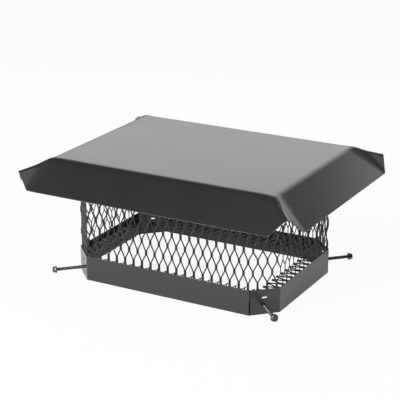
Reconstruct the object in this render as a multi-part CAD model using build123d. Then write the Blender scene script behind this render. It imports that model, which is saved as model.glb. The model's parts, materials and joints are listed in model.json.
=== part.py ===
"""Chimney cap for one clay flue tile.

A folded sheet hood stands on a cage of expanded metal. The cage stands in a low
eight-sided band that slips over the flue tile, and four clamp screws through the
band's cut corners grip the tile.

Millimetres, +Z up. The origin is in the middle of the band, level with its lower rim,
X runs along the long side and -Y is the front.
"""

import os
from math import acos, atan2, cos, hypot, radians, sin, sqrt, tan

from build123d import *

# Base band: one strip bent round eight corners, its end lapped behind the front at the right
BAND_LENGTH = 340.0
BAND_WIDTH = 237.0
BAND_HEIGHT = 38.1
BAND_SHEET = 0.8
CORNER_CUT = 33.0
BAND_BEND_RADIUS = 4.5
LAP_LENGTH = 16.0
LAP_HEIGHT = 21.5
LAP_GAP = 0.05

# Hood: one sheet with a flat top, four sloping flaps and a raised fold at each corner.
# The fold angle is how far a flap's crease turns out of square to the flat top's edge
HOOD_SHEET = 0.8
HOOD_TOP = 191.1
PLATEAU_LENGTH = 357.5
PLATEAU_WIDTH = 260.0
FLAP_WIDTH = 66.0
FLAP_SLOPE = 36.4
FOLD_ANGLE = 14.1
PLATEAU_BEND_RADIUS = 12.0
RIDGE_BEND_RADIUS = 1.5

# Cage: one sheet of expanded metal with its lower and upper edges turned inwards
CAGE_SHEET = 1.2
OPENING_PITCH = 24.0
OPENING_LENGTH = 56.0
STRAND_WIDTH = 2.2
LOWER_FLANGE_HEIGHT = 23.6
LOWER_FLANGE_WIDTH = 36.0
UPPER_FLANGE_WIDTH = 12.0

# Clamp screws, and the weld nuts that they run in
SCREW_DIAMETER = 5.5
SCREW_LENGTH = 50.8
SCREW_STANDOFF = 42.0
SCREW_HEIGHT = 12.5
SCREW_POINT = 0.8
WASHER_DIAMETER = 11.4
WASHER_THICKNESS = 1.4
HEAD_ACROSS_FLATS = 7.9
HEAD_HEIGHT = 4.4
NUT_ACROSS_FLATS = 9.5
NUT_HEIGHT = 5.0
THREAD_CLEARANCE = 0.05
HEAD_CHAMFER = 0.6

# Openings in each cut corner of the band: the screw's hole, and a level slot above it
SCREW_HOLE_DIAMETER = 6.4
SLOT_LENGTH = 8.0
SLOT_WIDTH = 2.2
SLOT_HEIGHT = 25.5
SLOT_TO_CAGE = 3.0

CORNERS = {
    "front_left": (-1, -1),
    "front_right": (1, -1),
    "rear_left": (-1, 1),
    "rear_right": (1, 1),
}


def octagon(inset):
    """Corner points of the band's outline, moved inwards, anticlockwise from the front right."""
    half_length = BAND_LENGTH / 2 - inset
    half_width = BAND_WIDTH / 2 - inset
    cut = CORNER_CUT - inset * (2 - sqrt(2))
    return [
        (half_length - cut, -half_width),
        (half_length, -half_width + cut),
        (half_length, half_width - cut),
        (half_length - cut, half_width),
        (-half_length + cut, half_width),
        (-half_length, half_width - cut),
        (-half_length, -half_width + cut),
        (-half_length + cut, -half_width),
    ]


def corner_plane(side, height):
    """Plane on the outer face of a cut corner, its Z pointing out along the screw."""
    x_side, y_side = side
    return Plane(
        origin=(
            x_side * (BAND_LENGTH - CORNER_CUT) / 2,
            y_side * (BAND_WIDTH - CORNER_CUT) / 2,
            height,
        ),
        x_dir=(0, 0, 1),
        z_dir=(x_side, y_side, 0),
    )


def lap_corner(inset):
    """Where a cut corner's face, moved inwards, meets the face of the tab behind the front."""
    front_cut, side_cut = octagon(inset)[:2]
    level = -BAND_WIDTH / 2 + BAND_SHEET + LAP_GAP + inset
    return (side_cut[0] - (side_cut[1] - level), level)


def make_base_band():
    """One strip on edge, bent at eight corners, with a low tab lapped behind its other end."""
    outer = octagon(0)
    inner = octagon(BAND_SHEET)
    end = outer[0][0]
    outer_face = [outer[0], *outer[:0:-1], lap_corner(0)]
    inner_face = [(end, inner[0][1]), *inner[:0:-1], lap_corner(BAND_SHEET)]
    tab_end = lap_corner(0)[0] - LAP_LENGTH
    tab = [(tab_end, point[1]) for point in (outer_face[-1], inner_face[-1])]
    section = make_face(Polyline(*outer_face, *tab, *inner_face[::-1], close=True))
    for bends, radius in (
        (outer_face[1:], BAND_BEND_RADIUS),
        (inner_face[1:], BAND_BEND_RADIUS - BAND_SHEET),
    ):
        corners = [
            vertex
            for vertex in section.vertices()
            if min((Vector(vertex) - Vector(*bend)).length for bend in bends) < BAND_SHEET / 10
        ]
        section = fillet(corners, radius)
    band = extrude(section, BAND_HEIGHT)
    notch = Pos(end, -BAND_WIDTH / 2 + BAND_SHEET, LAP_HEIGHT) * Box(
        2 * LAP_LENGTH,
        2 * BAND_SHEET,
        BAND_HEIGHT,
        align=(Align.MAX, Align.MIN, Align.MIN),
    )
    band -= notch
    for side in CORNERS.values():
        drill = 2 * BAND_SHEET
        hole = Circle(SCREW_HOLE_DIAMETER / 2)
        slot = SlotOverall(SLOT_LENGTH, SLOT_WIDTH, rotation=90)
        band -= extrude(corner_plane(side, SCREW_HEIGHT) * hole, drill, both=True)
        band -= extrude(corner_plane(side, SLOT_HEIGHT) * slot, drill, both=True)
    return band


def corner_fold():
    """Reach and fall of a corner's ridge, and how far the flap's lower edge runs past the flat top.

    The four folds at a corner are laid out so that the flat sheet bends into them without
    stretching: the ridge keeps its flat distance to the creases beside it.
    """
    slope = radians(FLAP_SLOPE)
    fold = radians(FOLD_ANGLE)
    across = (sin(fold) + cos(fold) * cos(slope)) / sqrt(2)
    down = cos(fold) * sin(slope)
    ridge_fall = atan2(down, across) - acos(cos(radians(45) - fold) / hypot(across, down))
    ridge = FLAP_WIDTH * (1 + tan(fold)) / sqrt(2)
    return ridge * cos(ridge_fall) / sqrt(2), ridge * sin(ridge_fall), FLAP_WIDTH * tan(fold)


def roof(width, depth, plane):
    """Long solid with a flat top and a slope down each side, moved inwards by a depth."""
    slope = radians(FLAP_SLOPE)
    top = HOOD_TOP - depth
    base = HOOD_TOP - 2 * FLAP_WIDTH * sin(slope)
    half_top = width / 2 - depth * tan(slope / 2)
    half_base = half_top + (top - base) / tan(slope)
    rise = ((-half_base, base), (-half_top, top), (half_top, top), (half_base, base))
    section = make_face(Polyline(*rise, close=True))
    return extrude(plane * section, PLATEAU_LENGTH + PLATEAU_WIDTH, both=True)


def corner_ridge(side, depth):
    """Solid under the two facets of one raised corner fold, its edges rounded as bends."""
    x_side, y_side = side
    slope = radians(FLAP_SLOPE)
    reach = FLAP_WIDTH * cos(slope)
    drop = FLAP_WIDTH * sin(slope)
    ridge_reach, ridge_drop, overrun = corner_fold()
    apex = Vector(x_side * PLATEAU_LENGTH / 2, y_side * PLATEAU_WIDTH / 2, HOOD_TOP)
    ridge = Vector(x_side * ridge_reach, y_side * ridge_reach, -ridge_drop)
    block = Pos(apex.X, apex.Y, HOOD_TOP - 2 * drop) * Box(
        4 * reach, 4 * reach, 2 * drop - depth, align=(Align.CENTER, Align.CENTER, Align.MIN)
    )
    for crease in (
        Vector(x_side * overrun, y_side * reach, -drop),
        Vector(x_side * reach, y_side * overrun, -drop),
    ):
        normal = ridge.cross(crease).normalized()
        normal = normal * (1 if normal.Z > 0 else -1)
        block = split(block, Plane(apex - normal * depth, z_dir=normal), keep=Keep.BOTTOM)
    tip = Vector(block.vertices().sort_by_distance(apex)[0])
    bends = [
        edge
        for edge in block.edges()
        if min((Vector(end) - tip).length for end in edge.vertices()) < HOOD_SHEET / 10
    ]
    return fillet(bends, RIDGE_BEND_RADIUS - depth)


def hood_form(depth):
    """Solid under the hood's surface, moved inwards from the outer face by a depth."""
    form = roof(PLATEAU_LENGTH, depth, Plane.XZ) & roof(PLATEAU_WIDTH, depth, Plane.YZ)
    plateau = form.faces().sort_by(Axis.Z)[-1]
    form = fillet(plateau.edges(), PLATEAU_BEND_RADIUS - depth)
    for side in CORNERS.values():
        form += corner_ridge(side, depth)
    return form


def make_hood():
    """One sheet folded down on four sides, its corners raised into ridges and trimmed."""
    reach = FLAP_WIDTH * cos(radians(FLAP_SLOPE))
    ridge_reach, _, overrun = corner_fold()
    half_length = PLATEAU_LENGTH / 2
    half_width = PLATEAU_WIDTH / 2
    quarter = [
        (half_length + overrun, half_width + reach),
        (half_length + ridge_reach, half_width + ridge_reach),
        (half_length + reach, half_width + overrun),
    ]
    rim = []
    for x_side, y_side in ((1, 1), (1, -1), (-1, -1), (-1, 1)):
        points = [(x_side * x, y_side * y) for x, y in quarter]
        rim += points if x_side * y_side > 0 else points[::-1]
    trim = extrude(make_face(Polyline(*rim, close=True)), 2 * HOOD_TOP)
    return (hood_form(0) - hood_form(HOOD_SHEET)) & trim


def half_steps(length, step):
    """Length counted in whole halves of a step."""
    return max(1, round(2 * length / step)) / 2


def cage_height():
    """Lower and upper bend lines of the cage, and the spacing of the bond rows between them."""
    high = HOOD_TOP - HOOD_SHEET
    rows = max(1, round((high - LOWER_FLANGE_HEIGHT) / (OPENING_LENGTH / 2)))
    return LOWER_FLANGE_HEIGHT, high, (high - LOWER_FLANGE_HEIGHT) / rows


def strand_inset(pitch, row_spacing):
    """Half a strand's width, as it is met along the row spacing."""
    return STRAND_WIDTH / 2 * hypot(pitch / 2, row_spacing) / (pitch / 2)


def pierced_strip(x_range, y_range, pitch, phase):
    """Flat expanded metal: X runs round the cage from a bend line, Y up from the lower bend line."""
    x_low, x_high = x_range
    y_low, y_high = y_range
    _, _, row_spacing = cage_height()
    half_gap = row_spacing - strand_inset(pitch, row_spacing)
    half_open = half_gap * pitch / (2 * row_spacing)
    opening = make_face(
        Polyline((half_open, 0), (0, half_gap), (-half_open, 0), (0, -half_gap), close=True)
    )
    openings = []
    for row in range(int(y_low // row_spacing), int(y_high // row_spacing) + 2):
        shift = (row + phase) % 2 / 2
        for column in range(int(x_low // pitch) - 1, int(x_high // pitch) + 2):
            openings.append(Pos((column + shift) * pitch, row * row_spacing) * opening)
    middle = Pos((x_low + x_high) / 2, (y_low + y_high) / 2)
    return middle * Rectangle(x_high - x_low, y_high - y_low) - openings


def make_mesh_cage():
    """One folded sheet of expanded metal: eight walls, and flanges turned in below and above."""
    outer = octagon(BAND_SHEET)
    inner = octagon(BAND_SHEET + CAGE_SHEET)
    low, high, _ = cage_height()
    height = high - low
    corner_low = SLOT_HEIGHT + SLOT_WIDTH / 2 + SLOT_TO_CAGE - low
    phase = 0
    parts = []
    for index in range(len(outer)):
        following = (index + 1) % len(outer)
        start, end = Vector(*outer[index]), Vector(*outer[following])
        length = (end - start).length
        along = (end - start).normalized()
        outward = Vector(along.Y, -along.X, 0)
        count = half_steps(length, OPENING_PITCH)
        pitch = length / count
        cut_corner = index % 2 == 0
        wall = pierced_strip((0, length), (corner_low if cut_corner else 0, height), pitch, phase)
        wall_plane = Plane(origin=start + Vector(0, 0, low), x_dir=along, z_dir=outward)
        back = [Vector(*inner[following]), Vector(*inner[index])]
        mitre = extrude(make_face(Polyline(start, end, *back, close=True)), HOOD_TOP)
        parts.append(extrude(wall_plane * wall, -CAGE_SHEET) & mitre)
        if not cut_corner:
            flange_range = (pitch / 2, length - pitch / 2)
            foot = start - outward * CAGE_SHEET
            lower = pierced_strip(flange_range, (-LOWER_FLANGE_WIDTH, 0), pitch, phase)
            lower_plane = Plane(origin=foot + Vector(0, 0, low), x_dir=along, z_dir=(0, 0, -1))
            parts.append(extrude(lower_plane * lower, -CAGE_SHEET))
            upper = pierced_strip(flange_range, (height, height + UPPER_FLANGE_WIDTH), pitch, phase)
            upper_plane = Plane(origin=foot + Vector(0, 0, high), x_dir=along, z_dir=(0, 0, 1))
            parts.append(extrude(upper_plane * Pos(0, -height) * upper, -CAGE_SHEET))
        phase += round(2 * count)
    return parts[0].fuse(*parts[1:])


def make_clamp_screw(side):
    """Hex washer head screw, backed out as far as it stands in the band."""
    radius = SCREW_DIAMETER / 2
    shank = Pos(0, 0, SCREW_STANDOFF - SCREW_LENGTH) * Cylinder(
        radius, SCREW_LENGTH, align=(Align.CENTER, Align.CENTER, Align.MIN)
    )
    shank = chamfer(shank.edges().sort_by(Axis.Z)[0], SCREW_POINT)
    washer = Pos(0, 0, SCREW_STANDOFF) * Cylinder(
        WASHER_DIAMETER / 2, WASHER_THICKNESS, align=(Align.CENTER, Align.CENTER, Align.MIN)
    )
    hexagon = RegularPolygon(HEAD_ACROSS_FLATS / 2, 6, major_radius=False)
    head = Pos(0, 0, SCREW_STANDOFF + WASHER_THICKNESS) * extrude(hexagon, HEAD_HEIGHT)
    head = chamfer(head.edges().group_by(Axis.Z)[-1], HEAD_CHAMFER)
    return corner_plane(side, SCREW_HEIGHT) * (shank + washer + head)


def make_corner_nut(side):
    """Weld nut on the inner face of a cut corner."""
    hexagon = RegularPolygon(NUT_ACROSS_FLATS / 2, 6, major_radius=False)
    nut = Pos(0, 0, -BAND_SHEET) * extrude(hexagon, -NUT_HEIGHT)
    nut = chamfer(nut.edges().group_by(Axis.Z)[0], HEAD_CHAMFER)
    nut -= Cylinder(SCREW_DIAMETER / 2 + THREAD_CLEARANCE, 4 * NUT_HEIGHT)
    return corner_plane(side, SCREW_HEIGHT) * nut


def main():
    """Build every piece and write one STEP file each."""
    os.makedirs("parts", exist_ok=True)
    pieces = {
        "base_band": make_base_band(),
        "hood": make_hood(),
        "mesh_cage": make_mesh_cage(),
    }
    for name, side in CORNERS.items():
        pieces[f"clamp_screw_{name}"] = make_clamp_screw(side)
        pieces[f"corner_nut_{name}"] = make_corner_nut(side)
    for name, piece in pieces.items():
        export_step(piece, f"parts/{name}.step")


if __name__ == "__main__":
    main()
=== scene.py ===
"""Chimney cap: satin black hood, expanded metal cage, low band and four clamp screws.

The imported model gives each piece's place and outer size. Three kinds of piece get finer
surfaces here: the hood with its rolled bends, the cage with its twisted strands and the
screws with their threads. The band and the nuts keep their own meshes and get a coat.
"""

import json
import logging
import math
from dataclasses import dataclass, field
from enum import Enum
from typing import ClassVar

import bpy
import numpy as np
from mathutils import Matrix, Vector


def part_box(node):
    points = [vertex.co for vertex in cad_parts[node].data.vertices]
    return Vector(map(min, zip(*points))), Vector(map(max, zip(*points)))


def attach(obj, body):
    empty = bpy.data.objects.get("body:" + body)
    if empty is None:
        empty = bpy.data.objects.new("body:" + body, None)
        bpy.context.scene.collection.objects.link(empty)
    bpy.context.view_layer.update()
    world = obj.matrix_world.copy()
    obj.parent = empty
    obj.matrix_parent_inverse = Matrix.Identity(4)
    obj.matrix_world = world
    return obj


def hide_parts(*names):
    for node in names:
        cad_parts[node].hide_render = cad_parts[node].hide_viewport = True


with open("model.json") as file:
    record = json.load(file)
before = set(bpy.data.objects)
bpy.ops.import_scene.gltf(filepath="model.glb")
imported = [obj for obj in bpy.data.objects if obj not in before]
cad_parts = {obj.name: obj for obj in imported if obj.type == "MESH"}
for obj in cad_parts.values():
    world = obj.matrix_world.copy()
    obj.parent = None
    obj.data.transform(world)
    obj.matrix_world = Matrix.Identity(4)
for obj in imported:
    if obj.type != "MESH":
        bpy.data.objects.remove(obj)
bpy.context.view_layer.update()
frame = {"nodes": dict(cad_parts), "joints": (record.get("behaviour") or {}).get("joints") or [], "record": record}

LOG = logging.getLogger("chimney_cap")
MM = 0.001
CAP_BODY = "cap"
CORNERS = ("front_left", "front_right", "rear_left", "rear_right")
STRAND_BLACK = (0.008, 0.008, 0.008)

Array = np.ndarray
Piece = bpy.types.Object
Socket = bpy.types.NodeSocket


class Shading(Enum):
    """How a mesh takes the light across its faces."""

    SMOOTH = "smooth"
    FLAT = "flat"


class Wall(Enum):
    """A straight wall of the cage, by the knot of the walls' line at which it starts."""

    FRONT = 0
    RIGHT = 4
    REAR = 8
    LEFT = 12


def outward(points: Array, faces: Array) -> Array:
    """Faces of closed surfaces, turned round if they enclose a negative volume.

    The volume is a sixth of the sum, over the faces cut into triangles, of the triple
    product of their corners.

    Args:
        points: Vertex places, shape (n, 3).
        faces: Vertex numbers, shape (m, 4). A triangle has its last corner twice.

    Returns:
        The faces, or the faces with their corners in reverse order.
    """
    a, b, c, d = (points[faces[:, corner]] for corner in range(4))
    volume = np.einsum("ij,ij->", a, np.cross(b, c)) + np.einsum("ij,ij->", a, np.cross(c, d))
    if volume > 0:
        return faces
    triangles = faces[:, 2:3] == faces[:, 3:]
    return np.where(triangles, faces[:, [0, 2, 1, 1]], faces[:, [0, 3, 2, 1]])


def make_piece(name: str, points: Array, faces: Array, shading: Shading) -> Piece:
    """Put worked-out points and faces into a new object that sits at the origin.

    Args:
        name: Name of the object and of its mesh.
        points: Vertex places in metres, shape (n, 3).
        faces: Vertex numbers, shape (m, 4). A triangle has its last corner twice.
        shading: Smooth or flat.

    Returns:
        The object, linked to the scene.
    """
    faces = outward(points, faces)
    triangles = faces[:, 2] == faces[:, 3]
    corners = np.where(triangles, 3, 4)
    kept = np.ones(faces.shape, bool)
    kept[triangles, 3] = False
    mesh = bpy.data.meshes.new(name)
    mesh.vertices.add(len(points))
    mesh.vertices.foreach_set("co", points.astype(np.float32).ravel())
    mesh.loops.add(int(corners.sum()))
    mesh.loops.foreach_set("vertex_index", faces[kept].astype(np.int32))
    mesh.polygons.add(len(faces))
    starts = np.concatenate([[0], np.cumsum(corners)[:-1]])
    mesh.polygons.foreach_set("loop_start", starts.astype(np.int32))
    mesh.polygons.foreach_set("use_smooth", np.full(len(faces), shading is Shading.SMOOTH))
    mesh.update(calc_edges=True)
    mesh.validate()
    piece = bpy.data.objects.new(name, mesh)
    bpy.context.scene.collection.objects.link(piece)
    return piece


def grid_faces(rows: int, columns: int) -> Array:
    """Faces of a grid of points numbered row by row, each row a closed ring.

    Args:
        rows: Number of rings.
        columns: Number of points in each.

    Returns:
        Vertex numbers, shape ((rows - 1) * columns, 4).
    """
    row = np.arange(rows - 1)[:, None] * columns
    column = np.arange(columns)[None, :]
    following = (column + 1) % columns
    corners = (row + column, row + columns + column, row + columns + following, row + following)
    return np.stack(corners, axis=-1).reshape(-1, 4)


def fan_faces(centre: int, ring: Array) -> Array:
    """Triangles from one point to each side of a closed ring, their last corner twice."""
    following = np.roll(ring, -1)
    return np.stack([np.full(len(ring), centre), ring, following, following], axis=-1)


def lower_of(one: Array, other: Array, band: float) -> Array:
    """Lower of two heights, rounded where they cross.

    It is the lower height less (band - gap) squared / (4 band), where the gap between the
    two is less than the band.

    Args:
        one: Heights.
        other: Heights of the same shape.
        band: Gap under which the rounding starts, one number or one for each height.

    Returns:
        Heights of the same shape.
    """
    gap = np.abs(one - other)
    return np.minimum(one, other) - np.maximum(band - gap, 0.0) ** 2 / (4 * band)


def unit(vectors: Array) -> Array:
    """Vectors of length one along the given ones."""
    return vectors / np.linalg.norm(vectors, axis=-1, keepdims=True)


def new_material(name: str) -> bpy.types.Material:
    """Make a material that holds a Principled BSDF and its output.

    Args:
        name: Name of the material.

    Returns:
        The material.
    """
    made = bpy.data.materials.new(name)
    made.use_nodes = True
    return made


def worked_out(tree: bpy.types.NodeTree, operation: str, *inputs: Socket | float) -> Socket:
    """Add a Math node.

    Args:
        tree: The material's nodes.
        operation: The node's operation.
        inputs: For each input in turn, what to link to it or the number to set on it.

    Returns:
        The node's result.
    """
    node = tree.nodes.new("ShaderNodeMath")
    node.operation = operation
    for socket, value in zip(node.inputs, inputs):
        if isinstance(value, Socket):
            tree.links.new(value, socket)
        else:
            socket.default_value = value
    return node.outputs["Value"]


def lay_over(tree: bpy.types.NodeTree, cover: Socket, share: Socket) -> None:
    """Mix a shader over a material's Principled BSDF.

    Args:
        tree: The material's nodes.
        cover: The shader to lay over it.
        share: How much of the cover shows, from 0 to 1.
    """
    mix = tree.nodes.new("ShaderNodeMixShader")
    tree.links.new(share, mix.inputs["Fac"])
    tree.links.new(tree.nodes["Principled BSDF"].outputs["BSDF"], mix.inputs[1])
    tree.links.new(cover, mix.inputs[2])
    tree.links.new(mix.outputs["Shader"], tree.nodes["Material Output"].inputs["Surface"])


def put_on(material: bpy.types.Material, piece: Piece) -> None:
    """Give a piece one material in place of any that it has."""
    piece.data.materials.clear()
    piece.data.materials.append(material)


@dataclass(frozen=True)
class SatinCoat:
    """Satin black powder coat: a dark body under a clear skin with a fine orange peel.

    The peel is a noise in Object coordinates that feeds a bump. A much broader noise moves
    the body's colour and roughness, as the coat's thickness does.
    """

    name: str
    colour: tuple[float, float, float] = (0.012, 0.0115, 0.0115)
    roughness: float = 0.3
    skin: float = 1.0
    skin_roughness: float = 0.28
    peel_size: float = 1.2 * MM
    peel_height: float = 0.010 * MM
    peel_detail: float = 2.0
    drift_size: float = 60.0 * MM
    drift_share: float = 0.12
    drift_detail: float = 3.0

    def noise(self, tree: bpy.types.NodeTree, size: float, detail: float) -> Socket:
        """Add a noise in Object coordinates.

        Args:
            tree: The material's nodes.
            size: Size of its grains, in metres.
            detail: Octaves of finer grains in it.

        Returns:
            The noise, from 0 to 1.
        """
        grains = tree.nodes.new("ShaderNodeTexNoise")
        grains.inputs["Scale"].default_value = 1.0 / size
        grains.inputs["Detail"].default_value = detail
        place = tree.nodes.new("ShaderNodeTexCoord").outputs["Object"]
        tree.links.new(place, grains.inputs["Vector"])
        return grains.outputs["Fac"]

    def material(self) -> bpy.types.Material:
        """Build the node tree.

        Returns:
            The material, ready to be put on a piece.
        """
        made = new_material(self.name)
        nodes = made.node_tree.nodes
        links = made.node_tree.links
        shader = nodes["Principled BSDF"]
        shader.inputs["Coat Weight"].default_value = self.skin
        shader.inputs["Coat Roughness"].default_value = self.skin_roughness
        less, more = 1 - self.drift_share, 1 + self.drift_share

        drift = self.noise(made.node_tree, self.drift_size, self.drift_detail)
        spread = nodes.new("ShaderNodeMapRange")
        spread.inputs["To Min"].default_value = self.roughness * less
        spread.inputs["To Max"].default_value = self.roughness * more
        links.new(drift, spread.inputs["Value"])
        links.new(spread.outputs["Result"], shader.inputs["Roughness"])

        tint = nodes.new("ShaderNodeMix")
        tint.data_type = "RGBA"
        tint.inputs["A"].default_value = (*(part * less for part in self.colour), 1.0)
        tint.inputs["B"].default_value = (*(part * more for part in self.colour), 1.0)
        links.new(drift, tint.inputs["Factor"])
        links.new(tint.outputs["Result"], shader.inputs["Base Color"])

        peel = self.noise(made.node_tree, self.peel_size, self.peel_detail)
        bump = nodes.new("ShaderNodeBump")
        bump.inputs["Distance"].default_value = self.peel_height
        links.new(peel, bump.inputs["Height"])
        links.new(bump.outputs["Normal"], shader.inputs["Normal"])
        links.new(bump.outputs["Normal"], shader.inputs["Coat Normal"])
        return made


@dataclass(frozen=True)
class SeamShadowCoat(SatinCoat):
    """The coat with a dark upright line beside the end of a lapped strip.

    The line is painted shade: a near-black matte diffuse laid over the coat, standing for the
    shadow in the groove where one end of the strip laps behind the bend. It covers the places
    whose Object coordinates are within half its width of the seam along X, and on the front
    side of its limit along Y.
    """

    seam: float = 0.0
    limit: float = 0.0
    width: float = 1.4 * MM
    # Colour of the painted shadow that stands for the shade in the lap's groove.
    seam_shadow_colour: tuple[float, float, float] = (0.002, 0.002, 0.002)

    def material(self) -> bpy.types.Material:
        """Build the coat's node tree and lay the line over it.

        Returns:
            The material, ready to be put on a piece.
        """
        made = super().material()
        tree = made.node_tree
        split = tree.nodes.new("ShaderNodeSeparateXYZ")
        place = tree.nodes.new("ShaderNodeTexCoord").outputs["Object"]
        tree.links.new(place, split.inputs["Vector"])
        near = worked_out(tree, "COMPARE", split.outputs["X"], self.seam, self.width / 2)
        front = worked_out(tree, "LESS_THAN", split.outputs["Y"], self.limit)
        line = worked_out(tree, "MULTIPLY", near, front)
        # Painted shade: a near-black matte diffuse laid over the coat where the seam's groove is in shadow.
        gap = tree.nodes.new("ShaderNodeBsdfDiffuse")
        gap.inputs["Color"].default_value = (*self.seam_shadow_colour, 1.0)
        lay_over(tree, gap.outputs["BSDF"], line)
        return made


@dataclass
class Hood:
    """One folded sheet: a flat top, four flaps, and a raised fold at each corner.

    The outer face is a height over the plan. Flaps and corner facets are planes that meet
    the flat top's edges and corners, and every bend between them is rounded. The packed
    hood's slope, fold and sheet come first. The spread is how far the flat top is drawn
    over its edges, the bow how far a flap stands out of its plane, and the ridge's lift
    how much its rounding takes off. Flaps blend over a share of the ridge's band. A
    valley's band is its bend's times the least at the rim, and grows towards the corner.
    """

    packed_slope: float = math.radians(36.4)
    fold: float = math.radians(14.1)
    sheet: float = 0.8 * MM
    spread: float = 3.5 * MM
    bow: float = 0.3 * MM
    edge_bend: float = 18.0 * MM
    ridge_bend: float = 5.0 * MM
    ridge_lift: float = 2.4 * MM
    flap_blend: float = 0.25
    valley_bend: float = 42.0 * MM
    valley_least: float = 0.6
    valley_growth: float = 1.6
    apex_radius: float = 0.6 * MM
    fan_margin: float = 16.0 * MM
    gradient_step: float = 0.02 * MM
    flap_samples: int = 16
    fold_samples: int = 18
    rim_samples: int = 16
    lip_samples: int = 7
    lip_power: float = 0.25
    top: float = field(init=False)
    drop: float = field(init=False)
    reach: float = field(init=False)
    slope: float = field(init=False)
    overrun: float = field(init=False)
    ridge_reach: float = field(init=False)
    ridge_drop: float = field(init=False)
    half: Array = field(init=False)

    TOP_SHARES: ClassVar[tuple[float, ...]] = (0.15, 0.35, 0.55, 0.75, 0.9)
    EDGE_RINGS: ClassVar[tuple[float, ...]] = (0.5, 1.0, 1.6, 2.3, 3.0, 4.0, 6.0, 10.0)

    def __post_init__(self) -> None:
        """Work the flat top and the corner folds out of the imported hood's box.

        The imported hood's bends are sharper than the real one's. Here the top spreads a
        little over its edges, while the rim, with its valleys and tips, stays in its place.
        """
        low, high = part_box("hood")
        self.top = high.z
        self.drop = high.z - low.z - self.sheet / math.cos(self.packed_slope)
        packed_reach = self.drop / math.tan(self.packed_slope)
        packed_half = np.array([high.x - low.x, high.y - low.y]) / 2 - packed_reach
        flap = self.drop / math.sin(self.packed_slope)
        ridge = flap * (1 + math.tan(self.fold)) / math.sqrt(2)
        fall = self.ridge_fall()
        self.ridge_reach = ridge * math.cos(fall) / math.sqrt(2) - self.spread
        self.ridge_drop = ridge * math.sin(fall) - self.ridge_lift
        self.half = packed_half + self.spread
        self.reach = packed_reach - self.spread
        self.overrun = flap * math.tan(self.fold) - self.spread
        self.slope = math.atan2(self.drop, self.reach)

    def ridge_fall(self) -> float:
        """Angle below the level to which the flat sheet folds each corner's ridge.

        A crease beside the ridge runs out and down, at the fold's angle from the flap's own
        line of fall. Of a length of one, let a be its way along the corner's diagonal and d
        its way down. In the flat sheet it makes 45 degrees less the fold with the ridge,
        and folding keeps that angle, so the ridge falls by the angle whose tangent is d / a
        less the angle whose cosine is cos(45 degrees - fold) / the root of (a a + d d).

        Returns:
            The angle in radians.
        """
        across = math.sin(self.fold) + math.cos(self.fold) * math.cos(self.packed_slope)
        across /= math.sqrt(2)
        down = math.cos(self.fold) * math.sin(self.packed_slope)
        flat_angle = math.acos(math.cos(math.pi / 4 - self.fold) / math.hypot(across, down))
        return math.atan2(down, across) - flat_angle

    def band(self, radius: float, one: Array, other: Array) -> float:
        """Height band over which two planes blend into a bend of the given radius.

        With s the length of the difference of their gradients, and m the mean gradient
        along it, the band is radius s squared / (2 (1 + m squared) to the power 1.5).

        Args:
            radius: Radius of the bend, in metres.
            one: Gradient of one plane, shape (2,).
            other: Gradient of the other.

        Returns:
            The band in metres.
        """
        step = one - other
        size = float(np.linalg.norm(step))
        mean = float(np.dot(one + other, step)) / (2 * size)
        return radius * size**2 / 2 / (1 + mean**2) ** 1.5

    def height(self, plan: Array) -> Array:
        """Height of the outer face over places in plan.

        The four quarters are alike, so each place is folded into one. There the face is the
        lower of the flat top and the roof. The roof is the higher of two things: the lower
        of two flaps, and the lower of two facets. A facet is the plane through the flat
        top's corner, a crease and the ridge. Each flap bows out by a parabola of its way
        from edge to rim. A valley's bend is sharpest at the rim and grows with the way
        that is left to it.

        Args:
            plan: Places, shape (..., 2), in metres from the hood's middle.

        Returns:
            Heights, shape (...).
        """
        away = np.abs(plan) - self.half
        ridge = np.array([self.ridge_reach, self.ridge_reach, -self.ridge_drop])
        crease = np.array([self.overrun, self.reach, -self.drop])
        normal = np.cross(ridge, crease)
        long_facet = -normal[:2] / normal[2]
        side_facet = long_facet[::-1]
        ridge_band = self.band(self.ridge_bend, long_facet, side_facet)
        facets = lower_of(away @ long_facet, away @ side_facet, ridge_band)
        share = np.clip(away / self.reach, 0, 1)
        bowed = 4 * self.bow * share * (1 - share) - math.tan(self.slope) * away
        flaps = lower_of(bowed[..., 0], bowed[..., 1], ridge_band * self.flap_blend)
        long_flap = np.array([0.0, -math.tan(self.slope)])
        to_rim = 1 - np.clip(away.sum(axis=-1) / (self.reach + self.overrun), 0, 1)
        growth = self.valley_least + self.valley_growth * to_rim
        valley_band = self.band(self.valley_bend, long_facet, long_flap) * growth
        roof = -lower_of(-flaps, -facets, valley_band)
        edge_band = self.band(self.edge_bend, long_flap, np.zeros(2))
        return self.top + lower_of(roof, np.zeros_like(roof), edge_band)

    def normals(self, plan: Array) -> Array:
        """Unit outward directions, from central differences of the height.

        Args:
            plan: Places, shape (..., 2), in metres from the hood's middle.

        Returns:
            Directions, shape (..., 3).
        """
        step = self.gradient_step
        east, north = np.array([step, 0.0]), np.array([0.0, step])
        slope_x = (self.height(plan + east) - self.height(plan - east)) / (2 * step)
        slope_y = (self.height(plan + north) - self.height(plan - north)) / (2 * step)
        return unit(np.stack([-slope_x, -slope_y, np.ones_like(slope_x)], axis=-1))

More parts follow.
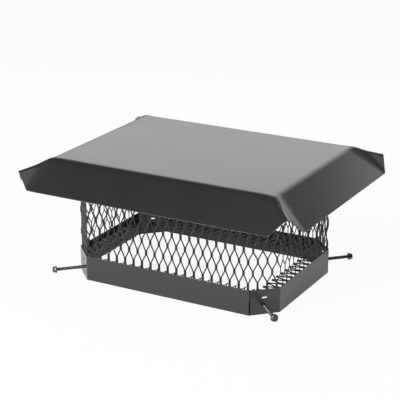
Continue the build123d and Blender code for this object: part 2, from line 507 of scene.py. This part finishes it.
    def quarter(self) -> tuple[Array, Array]:
        """Matching points on the flat top's edge and on the rim, round one corner.

        They run from the middle of the long side over the first valley, the ridge's tip
        and the second valley to the middle of the short side. Samples crowd together at
        valleys and tip, where the sheet bends. Points that would all lie on the corner
        stand on a small circle round it instead.

        Returns:
            Points of the inner and of the outer loop, each of shape (n, 2).
        """
        corner = self.half
        side, end = corner - self.fan_margin
        rim_x, rim_y = corner + self.reach
        valley_x, valley_y = corner + self.overrun
        tip = corner + self.ridge_reach
        long_side = [(0.0, corner[1]), (side, corner[1])]
        short_side = [(corner[0], end), (corner[0], 0.0)]
        inner = np.array([*long_side, *[corner] * 3, *short_side])
        long_rim = [(0.0, rim_y), (side, rim_y), (valley_x, rim_y)]
        short_rim = [(rim_x, valley_y), (rim_x, end), (rim_x, 0.0)]
        outer = np.array([*long_rim, tip, *short_rim])
        knots = np.arange(len(inner))
        even = np.arange(self.flap_samples) / self.flap_samples
        crowded = (1 - np.cos(np.pi * np.arange(self.fold_samples) / self.fold_samples)) / 2
        fold = [knot + crowded for knot in knots[1:-2]]
        steps = np.concatenate([even, *fold, knots[-2] + even, knots[-1:]])
        loops = [
            np.stack([np.interp(steps, knots, loop[:, axis]) for axis in (0, 1)], axis=-1)
            for loop in (inner, outer)
        ]
        circle = corner + self.apex_radius * unit(loops[1] - corner)
        at_corner = np.linalg.norm(loops[0] - corner, axis=-1) < self.apex_radius
        return np.where(at_corner[:, None], circle, loops[0]), loops[1]

    def whole(self, quarter: Array) -> Array:
        """A quarter's points mirrored round the four corners, anticlockwise from the front.

        Args:
            quarter: Points from the middle of a long side to that of a short one, (n, 2).

        Returns:
            Points of a closed loop, shape (4 n - 4, 2).
        """
        forward, backward = quarter[:-1], quarter[:0:-1]
        quarters = (forward * (1, -1), backward, forward * (-1, 1), backward * (-1, -1))
        return np.concatenate(quarters)

    def outer_rings(self) -> Array:
        """Rings of places in plan from near the middle to the rim.

        Rings inside the flat top are its edge drawn inwards, and rings on the flaps stand
        at shares of the way to the rim. Both crowd together at the top's edge. The last
        ring stands back by half a sheet, which is as far as the cut edge stands out.

        Returns:
            Places, shape (rings, n, 2).
        """
        edge, rim = (self.whole(loop) for loop in self.quarter())
        crowded = np.array(self.EDGE_RINGS) * MM
        near = edge[None] * (1 - crowded[::-1, None, None] / self.half)
        middle = near[0][None] * np.array(self.TOP_SHARES)[:, None, None]
        width = np.linalg.norm(rim - edge, axis=-1).min()
        shares = np.concatenate([[0.0], crowded / width])
        shares = np.concatenate([shares, np.linspace(shares[-1], 1.0, self.rim_samples)[1:]])
        shares[-1] -= self.sheet / 2 / width
        flaps = edge[None] + (rim - edge)[None] * shares[:, None, None]
        return np.concatenate([middle, near, flaps])

    def build(self) -> Piece:
        """Make the sheet as one closed surface.

        Rings go out over the outer face, round the cut edge, and back under it, a sheet's
        thickness inside along the normals. The cut edge is a half of the curve on which the
        eighth powers of both distances add up to a constant, so that it is nearly square.

        Returns:
            The hood.
        """
        plan = self.outer_rings()
        top = np.concatenate([plan, self.height(plan)[..., None]], axis=-1)
        up = self.normals(plan)
        away = unit(top[-1] - top[-2])
        turn = np.linspace(0, np.pi, self.lip_samples + 2)[1:-1, None, None]
        rise = np.sign(np.cos(turn)) * np.abs(np.cos(turn)) ** self.lip_power
        reach = np.sin(turn) ** self.lip_power
        centre = top[-1] - up[-1] * self.sheet / 2
        lip = centre + (up[-1] * rise + away * reach) * self.sheet / 2
        under = (top - up * self.sheet)[::-1]
        shell = np.concatenate([top, lip, under])
        rings, columns = shell.shape[:2]
        poles = np.array([[0, 0, self.top], [0, 0, self.top - self.sheet]])
        points = np.concatenate([shell.reshape(-1, 3), poles])
        pole = rings * columns
        first = np.arange(columns)
        last = first + pole - columns
        closing = [fan_faces(pole, first), fan_faces(pole + 1, last[::-1])]
        faces = np.concatenate([grid_faces(rings, columns), *closing])
        return make_piece("folded_hood", points, faces, Shading.SMOOTH)

    def dress(self, hood: Piece, coat: bpy.types.Material) -> None:
        """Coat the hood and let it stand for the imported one.

        Args:
            hood: The piece that build made.
            coat: Its finish.
        """
        put_on(coat, hood)
        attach(hood, CAP_BODY)
        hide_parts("hood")


@dataclass(frozen=True)
class BentLine:
    """A line of straight runs and round bends, given by its heading along its length.

    The heading, in radians, is linear between knots. Places are its running sum.
    """

    knots: Array
    headings: Array
    start: tuple[float, float]

    STEP: ClassVar[float] = 0.05 * MM

    def at(self, along: Array) -> tuple[Array, Array]:
        """Places and headings on the line.

        Args:
            along: Lengths from the first knot, any shape.

        Returns:
            Places, shape (..., 2), and headings, shape (...).
        """
        count = int(math.ceil((self.knots[-1] - self.knots[0]) / self.STEP))
        fine = np.linspace(self.knots[0], self.knots[-1], count)
        middle = (fine[1:] + fine[:-1]) / 2
        heading = np.interp(middle, self.knots, self.headings)
        step = fine[1] - fine[0]
        places = [
            start + np.concatenate([[0.0], np.cumsum(part(heading) * step)])
            for start, part in zip(self.start, (np.cos, np.sin))
        ]
        spot = np.stack([np.interp(along, fine, place) for place in places], axis=-1)
        return spot, np.interp(along, self.knots, self.headings)


@dataclass
class MeshCage:
    """One sheet of expanded metal, folded into eight walls with flanges turned inwards.

    The sheet is ribbons that run upwards side by side. Each swings to touch its left and
    its right neighbour in turn, one bond row after another, and all are twisted by the
    same angle, so that the openings lie between raised strands.

    A bond's length is twice its share of a row. On the front, right and left walls, one
    bond's place along the wall is given, and the count of openings up to it from the
    front wall's. The count of all openings round the cage comes last.
    """

    pitch: float = 14.55 * MM
    row: float = 17.535 * MM
    strand: float = 1.85 * MM
    gauge: float = 1.25 * MM
    twist: float = math.radians(28)
    chamfer: float = 0.22 * MM
    bond: float = 0.2
    low_bond: float = 0.18
    corner_cut: float = 32.5 * MM
    bend: float = 3.5 * MM
    flange_depth: float = 34.2 * MM
    upper_flange: float = 12.0 * MM
    corner_foot: float = 7.0 * MM
    first_row_height: float = 45.19 * MM
    front_bond: float = -84.2 * MM
    right_bond: float = -37.43 * MM
    right_count: float = 21.5
    left_bond: float = 16.22 * MM
    left_count: float = 59.5
    count: int = 73
    depth: float = field(init=False)
    half_x: float = field(init=False)
    half_y: float = field(init=False)
    low: float = field(init=False)
    high: float = field(init=False)
    cut: float = field(init=False)

    BEND_SAMPLES: ClassVar[int] = 6
    CAPS: ClassVar[tuple[tuple[int, ...], ...]] = ((0, 1, 2, 3), (0, 3, 4, 7), (4, 5, 6, 7))

    def __post_init__(self) -> None:
        """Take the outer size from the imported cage's box, and lay the sheet's middle inside."""
        low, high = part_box("mesh_cage")
        self.depth = 2 * self.strand * math.sin(self.twist) + self.gauge * math.cos(self.twist)
        inset = self.depth / 2
        self.half_x = (high.x - low.x) / 2 - inset
        self.half_y = (high.y - low.y) / 2 - inset
        self.low = low.z + inset
        self.high = high.z - inset
        self.cut = self.corner_cut - inset * (2 - math.sqrt(2))

    def wall_line(self) -> tuple[BentLine, Array]:
        """Line of the walls in plan, anticlockwise from the front wall's left end.

        Returns:
            The line, and the lengths along it where each straight run starts and ends.
        """
        trim = self.bend * math.tan(math.pi / 8)
        long_wall = 2 * (self.half_x - self.cut - trim)
        side_wall = 2 * (self.half_y - self.cut - trim)
        corner_wall = self.cut * math.sqrt(2) - 2 * trim
        arc = self.bend * math.pi / 4
        straights = [long_wall, corner_wall, side_wall, corner_wall] * 2
        runs = np.array([length for straight in straights for length in (straight, arc)])
        knots = np.concatenate([[0.0], np.cumsum(runs)])
        turns = np.repeat(np.arange(9) * math.pi / 4, 2)[:-1]
        start = (-self.half_x + self.cut + trim, -self.half_y)
        return BentLine(knots, turns, start), knots

    def lattice_line(self, knots: Array) -> tuple[Array, Array]:
        """Lengths along the walls and the opening counts there, to be read between.

        Front, right and left walls have the pitch and the phase of the real ones. The
        corners and the rear wall take up what is left.

        Args:
            knots: Lengths where the straight runs of the walls' line start and end.

        Returns:
            Lengths and counts, each of shape (7,).
        """
        walls = (Wall.FRONT, Wall.RIGHT, Wall.LEFT)
        spans = [knots[wall.value : wall.value + 2] for wall in walls]
        half = np.diff(spans[0]) / 2 * (-1, 1)
        side = np.diff(spans[1]) / 2 * (-1, 1)
        front = (half - self.front_bond) / self.pitch
        right = self.right_count + (side - self.right_bond) / self.pitch
        left = self.left_count + (self.left_bond + side) / self.pitch
        lengths = np.concatenate([*spans, knots[-1:]])
        return lengths, np.array([*front, *right, *left, front[0] + self.count])

    def profile(self, folded: bool) -> tuple[BentLine, Array, Array]:
        """Upright line of a wall, with its flanges if it has them, and its sample places.

        The line's first part is distance outwards from the walls' line, its second height.
        Samples stand at both ends of each bond, beside them, between bonds and in the bends,
        rounded to a hundredth of a millimetre so that none stands twice.

        Args:
            folded: Whether the wall has flanges.

        Returns:
            The line, the lengths along it of the samples, and their places in bond rows.
        """
        arc = self.bend * math.pi / 2
        wall = self.high - self.low - 2 * self.bend
        if folded:
            runs = [self.flange_depth - self.bend, arc, wall, arc, self.upper_flange - self.bend]
            turns = np.array([0, 0, 1, 1, 2, 2]) * math.pi / 2
            start = (-self.flange_depth, self.low)
            wall_start = runs[0] + arc
        else:
            runs = [self.high - self.low - self.corner_foot]
            turns = np.array([1, 1]) * math.pi / 2
            start = (0.0, self.low + self.corner_foot)
            wall_start = self.bend - self.corner_foot
        knots = np.concatenate([[0.0], np.cumsum(runs)])
        row_zero = wall_start + self.first_row_height - self.low - self.bend
        first = math.floor((knots[0] - row_zero) / self.row)
        last = math.ceil((knots[-1] - row_zero) / self.row)
        beside = 1.5 * self.bond
        offsets = np.array([-beside, -self.bond, self.bond, beside, 0.5])
        rows = (np.arange(first, last + 1)[:, None] + offsets).ravel()
        rows = np.append(rows, -self.bond - self.low_bond)
        bends = [
            np.linspace(knots[k], knots[k + 1], self.BEND_SAMPLES) for k in range(1, len(runs), 2)
        ]
        places = np.concatenate([row_zero + rows * self.row, *bends, knots[[0, -1]]])
        inside = places[(places >= knots[0]) & (places <= knots[-1])]
        spaced = np.unique(np.round(inside, 5))
        return BentLine(knots, turns, start), spaced, (spaced - row_zero) / self.row

    def swing(self, rows: Array) -> Array:
        """Side to which an even ribbon swings: -1 at even bond rows, 1 at odd ones.

        It is a triangle wave of the row count, steepened and cut off at -1 and 1, so that
        strands are straight and bonds are short level stretches. The bonds of the lowest
        row that shows reach further down, behind the band: the rows between its bond and
        the one below are drawn together to make room.

        Args:
            rows: Places in bond rows, in rising order.

        Returns:
            Sides from -1 to 1, of the same shape.
        """
        under = self.bond - 1
        drawn = [rows[0], under, -self.bond - self.low_bond, -self.bond, rows[-1]]
        rows = np.interp(rows, drawn, [rows[0], under, -self.bond, -self.bond, rows[-1]])
        triangle = 1 - 2 * np.abs(rows % 2 - 1)
        return np.clip(triangle / (1 - 2 * self.bond), -1, 1)

    def section(self) -> Array:
        """Corners of a strand's chamfered section, across it and through it.

        Returns:
            Distances, shape (8, 2). The second four mirror the first through the middle.
        """
        wide, thick, cut = self.strand / 2, self.gauge / 2, self.chamfer
        upper = [(wide - cut, thick), (wide, thick - cut)]
        lower = [(wide, cut - thick), (wide - cut, -thick)]
        half = np.array(upper + lower)
        return np.concatenate([half, -half])

    def ribbons(self, folded: bool) -> tuple[Array, Array]:
        """All ribbons of the straight walls with flanges, or of the cut corners.

        A ribbon's middle stands between two columns of bonds and swings by a quarter
        pitch, less half of its own width as seen from the front. As it swings it also
        moves out of and into the sheet by half its width times the sine of the twist, so
        that the twisted edges of two neighbours meet at a bond.

        Args:
            folded: Whether to make those with flanges.

        Returns:
            Points, shape (ribbons * samples * section, 3), and faces.
        """
        plan, knots = self.wall_line()
        lengths, counts = self.lattice_line(knots)
        first, period = counts[0], lengths[-1]
        index = np.arange(2 * self.count)
        middle = (index + 0.5) / 2
        along = np.interp((middle - first) % self.count + first, counts, lengths)
        clear = self.pitch / 4
        on_wall = np.zeros(len(index), bool)
        for wall in Wall:
            start, end = knots[wall.value : wall.value + 2]
            on_wall |= (along > start + clear) & (along < end - clear)
        chosen = index[on_wall == folded]
        line, places, rows = self.profile(folded)
        sign = np.where(chosen % 2 == 0, 1.0, -1.0)[:, None]
        side = sign * self.swing(rows)[None, :]
        quarter = 0.25 - self.strand * math.cos(self.twist) / 2 / self.pitch
        count_at = middle[chosen][:, None] + side * quarter
        count_at = (count_at - first) % self.count + first
        spot, heading = plan.at(np.interp(count_at, counts, lengths) % period)
        lean, climb = line.at(places)
        out = np.stack([np.sin(heading), -np.cos(heading), np.zeros_like(heading)], axis=-1)
        rise = np.array([0.0, 0.0, 1.0])
        base = np.concatenate([spot, np.zeros((*spot.shape[:2], 1))], axis=-1)
        sheet = base + out * lean[None, :, :1] + rise * lean[None, :, 1:]
        face = out * np.sin(climb)[None, :, None] - rise * np.cos(climb)[None, :, None]
        sheet = sheet + face * (side * self.strand * math.sin(self.twist) / 2)[..., None]
        tangent = unit(np.gradient(sheet, axis=1))
        across = unit(np.cross(tangent, face))
        face = np.cross(across, tangent)
        wide = across * math.cos(self.twist) - face * math.sin(self.twist)
        thick = across * math.sin(self.twist) + face * math.cos(self.twist)
        section = self.section()
        points = (
            sheet[:, :, None]
            + wide[:, :, None] * section[:, 0][None, None, :, None]
            + thick[:, :, None] * section[:, 1][None, None, :, None]
        )
        ribbons, samples, ring = points.shape[:3]
        caps = np.array(self.CAPS)
        tube = [grid_faces(samples, ring), caps[:, ::-1], caps + (samples - 1) * ring]
        starts = (np.arange(ribbons) * samples * ring)[:, None, None]
        faces = np.concatenate(tube)[None] + starts
        return points.reshape(-1, 3), faces.reshape(-1, 4)

    def build(self) -> Piece:
        """Make all the ribbons as one piece.

        Returns:
            The cage.
        """
        walls, wall_faces = self.ribbons(folded=True)
        corners, corner_faces = self.ribbons(folded=False)
        points = np.concatenate([walls, corners])
        faces = np.concatenate([wall_faces, corner_faces + len(walls)])
        return make_piece("expanded_metal_cage", points, faces, Shading.SMOOTH)

    def dress(self, cage: Piece, coat: bpy.types.Material) -> None:
        """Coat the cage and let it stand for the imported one.

        Args:
            cage: The piece that build made.
            coat: Its finish.
        """
        put_on(coat, cage)
        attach(cage, CAP_BODY)
        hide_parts("mesh_cage")


@dataclass
class ClampScrew:
    """Hex washer head screw that runs along one slide joint.

    Every section round the axis is a radius over length and angle, from the flat point
    over the thread to the washer and the hexagon of the head. The thread's size is its
    lead. Its flanks are a triangle wave times the gain, less the cut.
    """

    corner: str
    diameter: float = 5.5 * MM
    root: float = 4.2 * MM
    thread: float = 1.8 * MM
    flank_gain: float = 1.6
    flank_cut: float = 0.45
    length: float = 50.8 * MM
    washer_diameter: float = 11.4 * MM
    washer: float = 1.4 * MM
    across_flats: float = 7.9 * MM
    head: float = 4.4 * MM
    edge: float = 0.35 * MM
    columns: int = 48
    rows_per_turn: int = 8

    def thread_radius(self, along: Array, angle: Array) -> Array:
        """Radius of the threaded shank.

        The crest follows a helix. Between crests the radius falls in straight flanks to the
        root: it is a triangle wave of (length / lead - angle / full turn), cut flat below.
        It fades out over one lead at each end.

        Args:
            along: Lengths from the point, shape (n, 1).
            angle: Angles round the axis, shape (m,).

        Returns:
            Radii, shape (n, m).
        """
        phase = (along / self.thread - angle / (2 * np.pi)) % 1
        ridge = np.clip(self.flank_gain * (1 - np.abs(2 * phase - 1)) - self.flank_cut, 0, 1)
        run_in = np.clip(along / self.thread, 0, 1)
        run_out = np.clip((self.length - along) / self.thread, 0, 1)
        fade = run_in * run_out
        return self.root / 2 + (self.diameter - self.root) / 2 * ridge * fade

    def hexagon(self, angle: Array, flats: float, rounding: float) -> Array:
        """Radius of a hexagon whose corners are limited to a circle."""
        sector = (angle + np.pi / 6) % (np.pi / 3) - np.pi / 6
        return np.minimum(flats / 2 / np.cos(sector), rounding)

    def rings(self, angle: Array) -> tuple[Array, Array]:
        """Sections from the flat point to the shallow dish in the head's top.

        Args:
            angle: Angles round the axis, shape (m,).

        Returns:
            Lengths along the axis, shape (n,), and radii there, shape (n, m).
        """
        steps = int(self.length / self.thread * self.rows_per_turn)
        shank = np.linspace(0, self.length, steps)
        disc, inner = self.washer_diameter / 2, self.washer_diameter / 2 - self.edge
        seat, face = self.length, self.length + self.washer
        top = face + self.head
        flats = self.across_flats
        sharp = self.hexagon(angle, flats, flats / math.sqrt(3))
        ends = (
            (seat, inner),
            (seat + self.edge, disc),
            (face - self.edge, disc),
            (face, inner),
            (face, sharp),
            (top - 2 * self.edge, sharp),
            (top - self.edge / 2, self.hexagon(angle, flats, flats / 2)),
            (top, flats / 2 - self.edge),
            (top - self.edge, flats / 2 - 3 * self.edge),
        )
        point = np.full((1, len(angle)), self.root / 2 - self.edge)
        head = [np.broadcast_to(radius, angle.shape)[None] for _, radius in ends]
        radii = np.concatenate([point, self.thread_radius(shank[:, None], angle), *head])
        return np.concatenate([[0.0], shank, [place for place, _ in ends]]), radii

    def travel(self) -> dict:
        """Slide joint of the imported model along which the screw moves."""
        return next(j for j in frame["joints"] if j["name"] == f"{self.corner}_screw_travel")

    def build(self) -> Piece:
        """Make the screw in its place, from the joint's axis and the mount at its point.

        Returns:
            The screw.
        """
        joint = self.travel()
        mounts = frame["record"]["mounts"]
        mount = next(m for m in mounts if m["name"] == f"screw_point_{self.corner}")
        angle = np.arange(self.columns) * 2 * np.pi / self.columns
        along, radius = self.rings(angle)
        outwards = -Vector(joint["axis"]).normalized()
        upright = Vector((0, 0, 1))
        side = upright.cross(outwards)
        base = np.array(mount["pos_m"])
        turn = np.cos(angle)[:, None] * np.array(upright) + np.sin(angle)[:, None] * np.array(side)
        points = base + along[:, None, None] * np.array(outwards) + radius[..., None] * turn
        ends = np.array([base, base + along[-1] * np.array(outwards)])
        pole = radius.size
        first = np.arange(self.columns)
        last = first + pole - self.columns
        closing = [fan_faces(pole, first), fan_faces(pole + 1, last[::-1])]
        faces = np.concatenate([grid_faces(len(along), self.columns), *closing])
        points = np.concatenate([points.reshape(-1, 3), ends])
        return make_piece(f"threaded_screw_{self.corner}", points, faces, Shading.SMOOTH)

    def dress(self, piece: Piece, coat: bpy.types.Material) -> None:
        """Coat the screw and its packed nut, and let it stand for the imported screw.

        Args:
            piece: The piece that build made.
            coat: The finish of both.
        """
        joint = self.travel()
        put_on(coat, piece)
        put_on(coat, frame["nodes"][f"corner_nut_{self.corner}"])
        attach(piece, joint["child"])
        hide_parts(f"clamp_screw_{self.corner}")


@dataclass
class BaseBand:
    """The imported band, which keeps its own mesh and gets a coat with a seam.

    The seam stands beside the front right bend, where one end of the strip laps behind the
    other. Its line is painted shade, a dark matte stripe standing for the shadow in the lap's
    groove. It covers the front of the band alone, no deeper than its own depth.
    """

    corner_cut: float = 33.0 * MM
    seam_offset: float = 0.7 * MM
    seam_depth: float = 4.0 * MM

    def dress(self) -> None:
        """Coat the band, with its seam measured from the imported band's box."""
        low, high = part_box("base_band")
        seam = high.x - self.corner_cut + self.seam_offset
        # The coat paints a dark shadow line along the lap seam.
        coat = SeamShadowCoat("coated_band", seam=seam, limit=low.y + self.seam_depth)
        put_on(coat.material(), frame["nodes"]["base_band"])


@dataclass(frozen=True)
class Softbox:
    """A rectangular lamp that looks at the cap.

    Its place and size are in metres. Its level is what a mirror would show, where 1 is
    white, and its power in watts is pi times the level times the area.
    """

    name: str
    place: tuple[float, float, float]
    size: tuple[float, float]
    level: float

    def add(self, target: Vector) -> None:
        """Hang the lamp and turn it to a target.

        Args:
            target: The place that it looks at.
        """
        data = bpy.data.lights.new(self.name, "AREA")
        data.shape = "RECTANGLE"
        data.size, data.size_y = self.size
        data.energy = math.pi * self.level * self.size[0] * self.size[1]
        lamp = bpy.data.objects.new(self.name, data)
        lamp.location = self.place
        lamp.rotation_euler = (target - Vector(self.place)).to_track_quat("-Z", "Y").to_euler()
        lamp.visible_camera = False
        bpy.context.scene.collection.objects.link(lamp)


@dataclass
class Studio:
    """White room: a pale floor, a grey sky that darkens upwards, soft lamps and the camera.

    The sky's stops are pairs of the sine of the elevation and the grey there.
    """

    camera_place: tuple[float, float, float] = (0.9188, -1.6745, 0.7828)
    camera_turn: float = math.radians(28.95)
    camera_fall: float = math.radians(19.28)
    sensor: float = 36.0
    lens: float = 120.55
    floor_size: float = 40.0
    floor_colour: tuple[float, float, float] = (0.85, 0.85, 0.85)
    floor_glow: float = 0.95
    floor_gloss: float = 0.35
    softboxes: tuple[Softbox, ...] = (
        Softbox("key_lamp", (-1.3, -2.6, 1.6), (2.0, 2.0), 11.0),
        Softbox("top_lamp", (0.6, -0.1, 1.5), (1.8, 1.7), 1.25),
        Softbox("rear_lamp", (-0.4, 1.0, 0.53), (1.3, 0.32), 1.05),
        Softbox("side_lamp", (0.35, 1.0, 0.46), (0.6, 0.22), 0.82),
        Softbox("upper_lamp", (-0.4, 1.0, 0.92), (1.2, 0.45), 0.7),
    )

    SKY: ClassVar[tuple[tuple[float, float], ...]] = (
        (0.0, 0.20),
        (0.20, 0.20),
        (0.50, 0.12),
        (0.90, 0.07),
    )

    def make_camera(self) -> None:
        """Stand the camera at the photo's angle."""
        data = bpy.data.cameras.new("camera")
        data.sensor_width = self.sensor
        data.lens = self.lens
        camera = bpy.data.objects.new("camera", data)
        bpy.context.scene.collection.objects.link(camera)
        turn = Matrix.Rotation(self.camera_turn, 4, "Z")
        tilt = Matrix.Rotation(math.pi / 2 - self.camera_fall, 4, "X")
        camera.matrix_world = Matrix.Translation(self.camera_place) @ turn @ tilt
        bpy.context.scene.camera = camera

    def make_sky(self) -> None:
        """Grey sky by the sine of the elevation, which the camera itself sees as white."""
        world = bpy.data.worlds.new("sky")
        bpy.context.scene.world = world
        world.use_nodes = True
        nodes = world.node_tree.nodes
        links = world.node_tree.links
        direction = nodes.new("ShaderNodeTexCoord").outputs["Generated"]
        split = nodes.new("ShaderNodeSeparateXYZ")
        links.new(direction, split.inputs["Vector"])
        ramp = nodes.new("ShaderNodeValToRGB")
        stops = ramp.color_ramp.elements
        for place, _ in self.SKY[len(stops) :]:
            stops.new(place)
        for stop, (place, level) in zip(stops, self.SKY):
            stop.position = place
            stop.color = (level, level, level, 1.0)
        links.new(split.outputs["Z"], ramp.inputs["Fac"])
        path = nodes.new("ShaderNodeLightPath")
        seen = nodes.new("ShaderNodeMix")
        seen.data_type = "RGBA"
        seen.inputs["B"].default_value = (1.0, 1.0, 1.0, 1.0)
        links.new(path.outputs["Is Camera Ray"], seen.inputs["Factor"])
        links.new(ramp.outputs["Color"], seen.inputs["A"])
        links.new(seen.outputs["Result"], nodes["Background"].inputs["Color"])

    def make_floor(self) -> None:
        """Pale floor that the eye and reflections see as white, with a faint shadow.

        Its own colour takes light and shadow. A glow is mixed over it, by one share for the
        eye and by another for reflections.
        """
        side = self.floor_size / 2
        points = np.array([(-side, -side, 0), (side, -side, 0), (side, side, 0), (-side, side, 0)])
        floor = make_piece("floor", points, np.array([[0, 1, 2, 3]]), Shading.FLAT)
        made = new_material("pale_floor")
        tree = made.node_tree
        shader = tree.nodes["Principled BSDF"]
        shader.inputs["Base Color"].default_value = (*self.floor_colour, 1.0)
        shader.inputs["Roughness"].default_value = 1.0
        shader.inputs["Specular IOR Level"].default_value = 0.0
        glow = tree.nodes.new("ShaderNodeEmission")
        ray = tree.nodes.new("ShaderNodeLightPath").outputs
        mirrored = worked_out(tree, "MAXIMUM", ray["Is Glossy Ray"], ray["Is Transmission Ray"])
        gloss = worked_out(tree, "MULTIPLY", mirrored, self.floor_gloss)
        share = worked_out(tree, "MULTIPLY_ADD", ray["Is Camera Ray"], self.floor_glow, gloss)
        lay_over(tree, glow.outputs["Emission"], share)
        put_on(made, floor)

    def build(self) -> None:
        """Set up the whole room."""
        self.make_camera()
        self.make_sky()
        self.make_floor()
        rim_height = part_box("hood")[0].z
        for softbox in self.softboxes:
            softbox.add(Vector((0.0, 0.0, rim_height)))
        bpy.context.scene.view_settings.view_transform = "Standard"


def main() -> None:
    """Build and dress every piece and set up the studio."""
    logging.basicConfig(level=logging.INFO, format="%(message)s")
    sheet_coat = SatinCoat("coated_sheet").material()
    mesh_coat = SatinCoat("coated_mesh", STRAND_BLACK, skin=0.5, skin_roughness=0.45).material()
    screw_coat = SatinCoat("coated_screw", roughness=0.35, skin_roughness=0.1).material()

    work = [(Hood(), sheet_coat), (MeshCage(), mesh_coat)]
    work += [(ClampScrew(corner), screw_coat) for corner in CORNERS]
    for part, coat in work:
        piece = part.build()
        part.dress(piece, coat)
        LOG.info("%s: %d faces", piece.name, len(piece.data.polygons))
    BaseBand().dress()
    LOG.info("base_band and corner nuts: dressed as packed")

    Studio().build()


if __name__ == "__main__":
    main()
